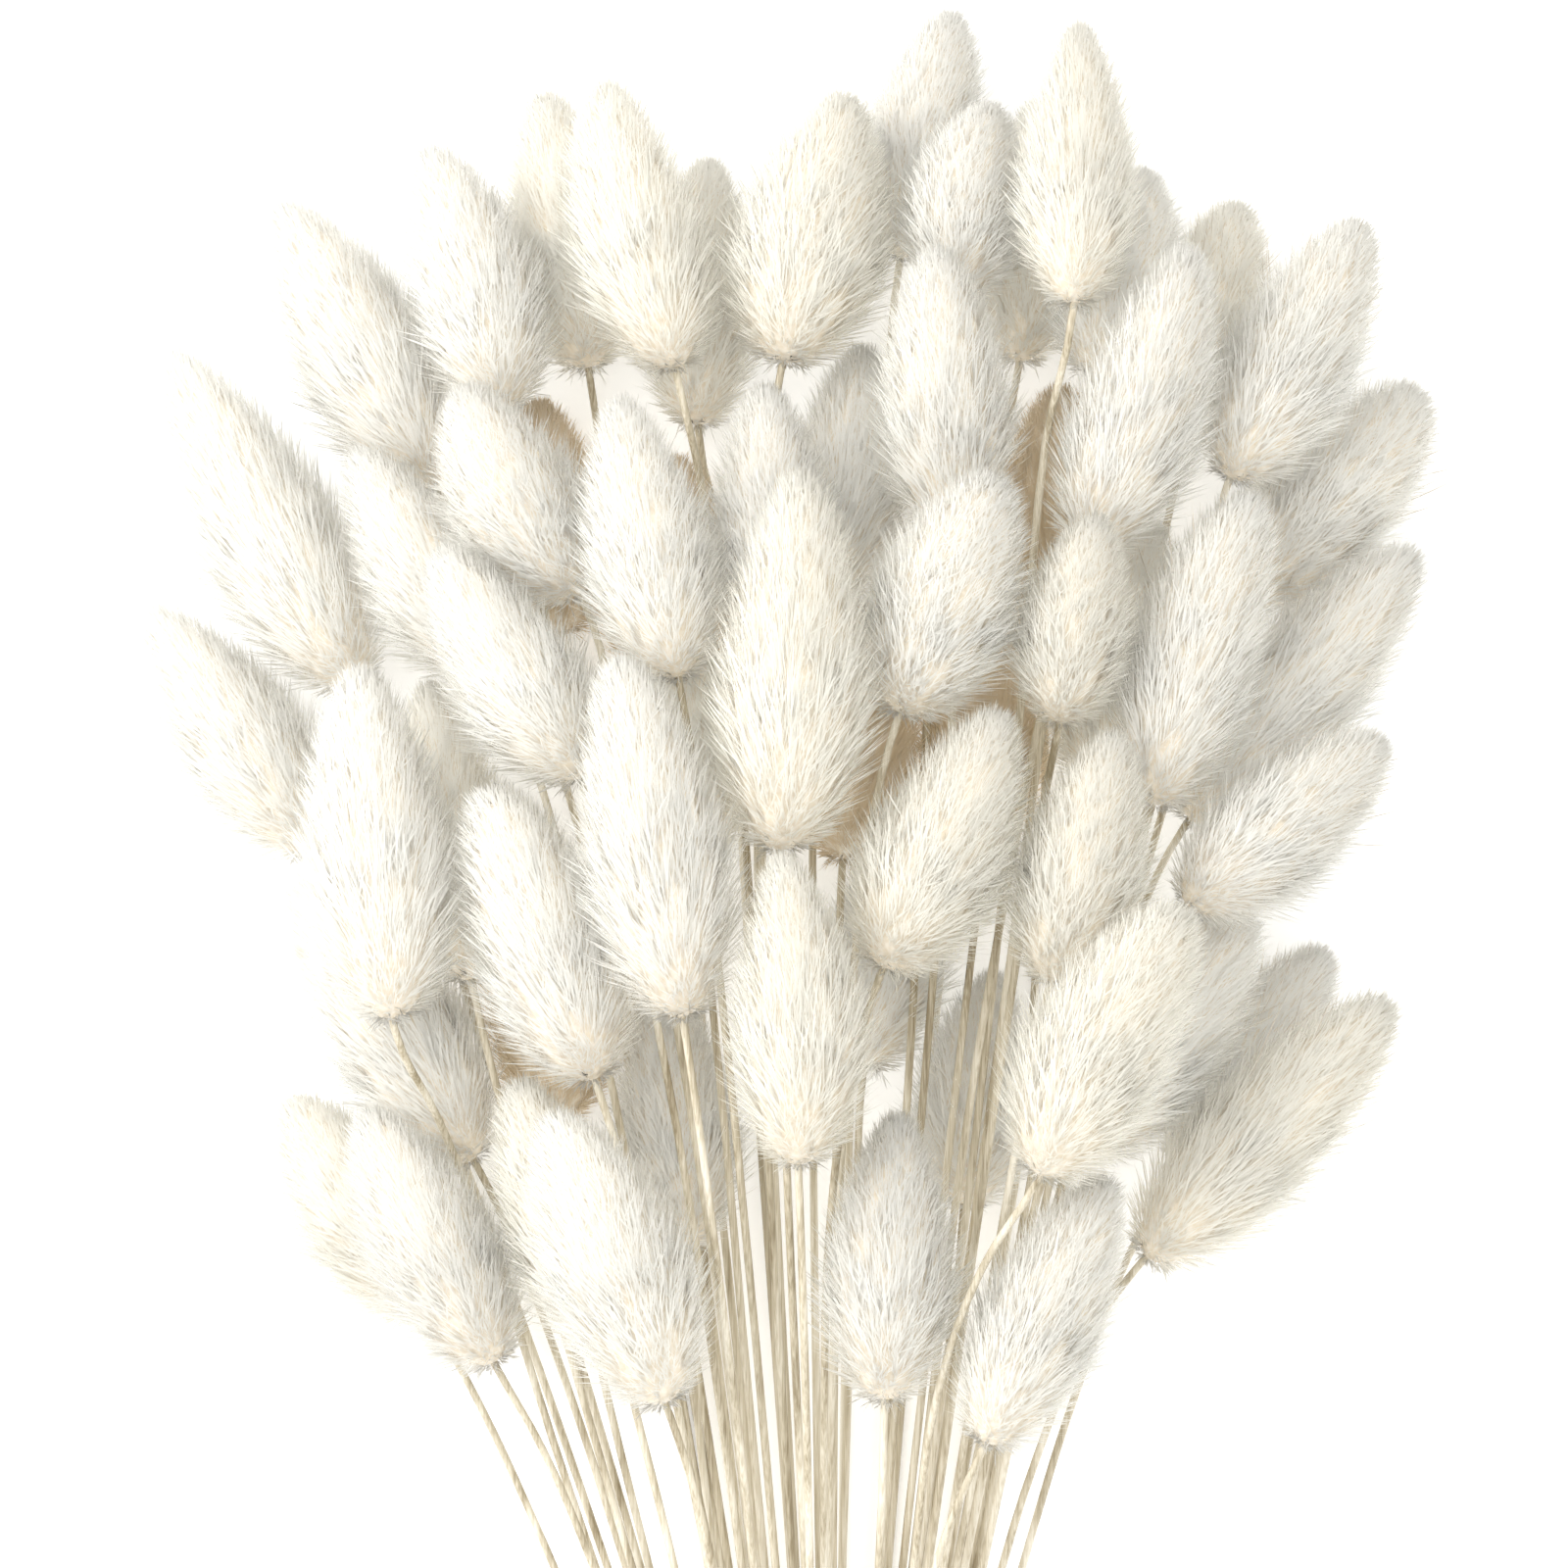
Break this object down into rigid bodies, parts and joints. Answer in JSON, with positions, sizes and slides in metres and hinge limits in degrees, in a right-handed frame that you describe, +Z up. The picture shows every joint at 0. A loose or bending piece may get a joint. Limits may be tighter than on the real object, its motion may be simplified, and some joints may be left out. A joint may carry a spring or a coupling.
{
  "type": "dried bunny tail grass bunch",
  "caption": "Bunch of dried, bleached bunny tail grass lying flat: soft cream oval heads with fine bristles on thin straw stems, bound near the cut ends with twine",
  "frame": {"origin": "on the surface the bunch lies on, below the middle of its overall box", "axes": "+Z up from the surface; +Y from the cut stem ends to the heads; +X to the right seen from above with the heads at the top"},
  "size_m": [0.2142, 0.4392, 0.0699],
  "materials": {
    "bleached_grass": "dry, fluffy, matt",
    "jute_twine": "rough plant fibre"
  },
  "bodies": {
    "root": {"tail_01": "bleached_grass", "tail_02": "bleached_grass", "tail_03": "bleached_grass", "tail_04": "bleached_grass", "tail_05": "bleached_grass", "tail_06": "bleached_grass", "tail_07": "bleached_grass", "tail_08": "bleached_grass", "tail_09": "bleached_grass", "tail_10": "bleached_grass", "tail_11": "bleached_grass", "tail_12": "bleached_grass", "tail_13": "bleached_grass", "tail_14": "bleached_grass", "tail_15": "bleached_grass", "tail_16": "bleached_grass", "tail_17": "bleached_grass", "tail_18": "bleached_grass", "tail_19": "bleached_grass", "tail_20": "bleached_grass", "tail_21": "bleached_grass", "tail_22": "bleached_grass", "tail_23": "bleached_grass", "tail_24": "bleached_grass", "tail_25": "bleached_grass", "tail_26": "bleached_grass", "tail_27": "bleached_grass", "tail_28": "bleached_grass", "tail_29": "bleached_grass", "tail_30": "bleached_grass", "tail_31": "bleached_grass", "tail_32": "bleached_grass", "tail_33": "bleached_grass", "tail_34": "bleached_grass", "tail_35": "bleached_grass", "tail_36": "bleached_grass", "tail_37": "bleached_grass", "tail_38": "bleached_grass", "tail_39": "bleached_grass", "tail_40": "bleached_grass", "tail_41": "bleached_grass", "tail_42": "bleached_grass", "tail_43": "bleached_grass", "tail_44": "bleached_grass", "tail_45": "bleached_grass", "tail_46": "bleached_grass", "tail_47": "bleached_grass", "tail_48": "bleached_grass", "tail_49": "bleached_grass", "tail_50": "bleached_grass", "tail_51": "bleached_grass", "tail_52": "bleached_grass", "tail_53": "bleached_grass", "tail_54": "bleached_grass", "tail_55": "bleached_grass", "tail_56": "bleached_grass", "tail_57": "bleached_grass", "tail_58": "bleached_grass", "tail_59": "bleached_grass", "tie": "jute_twine"}
  },
  "joints": []
}
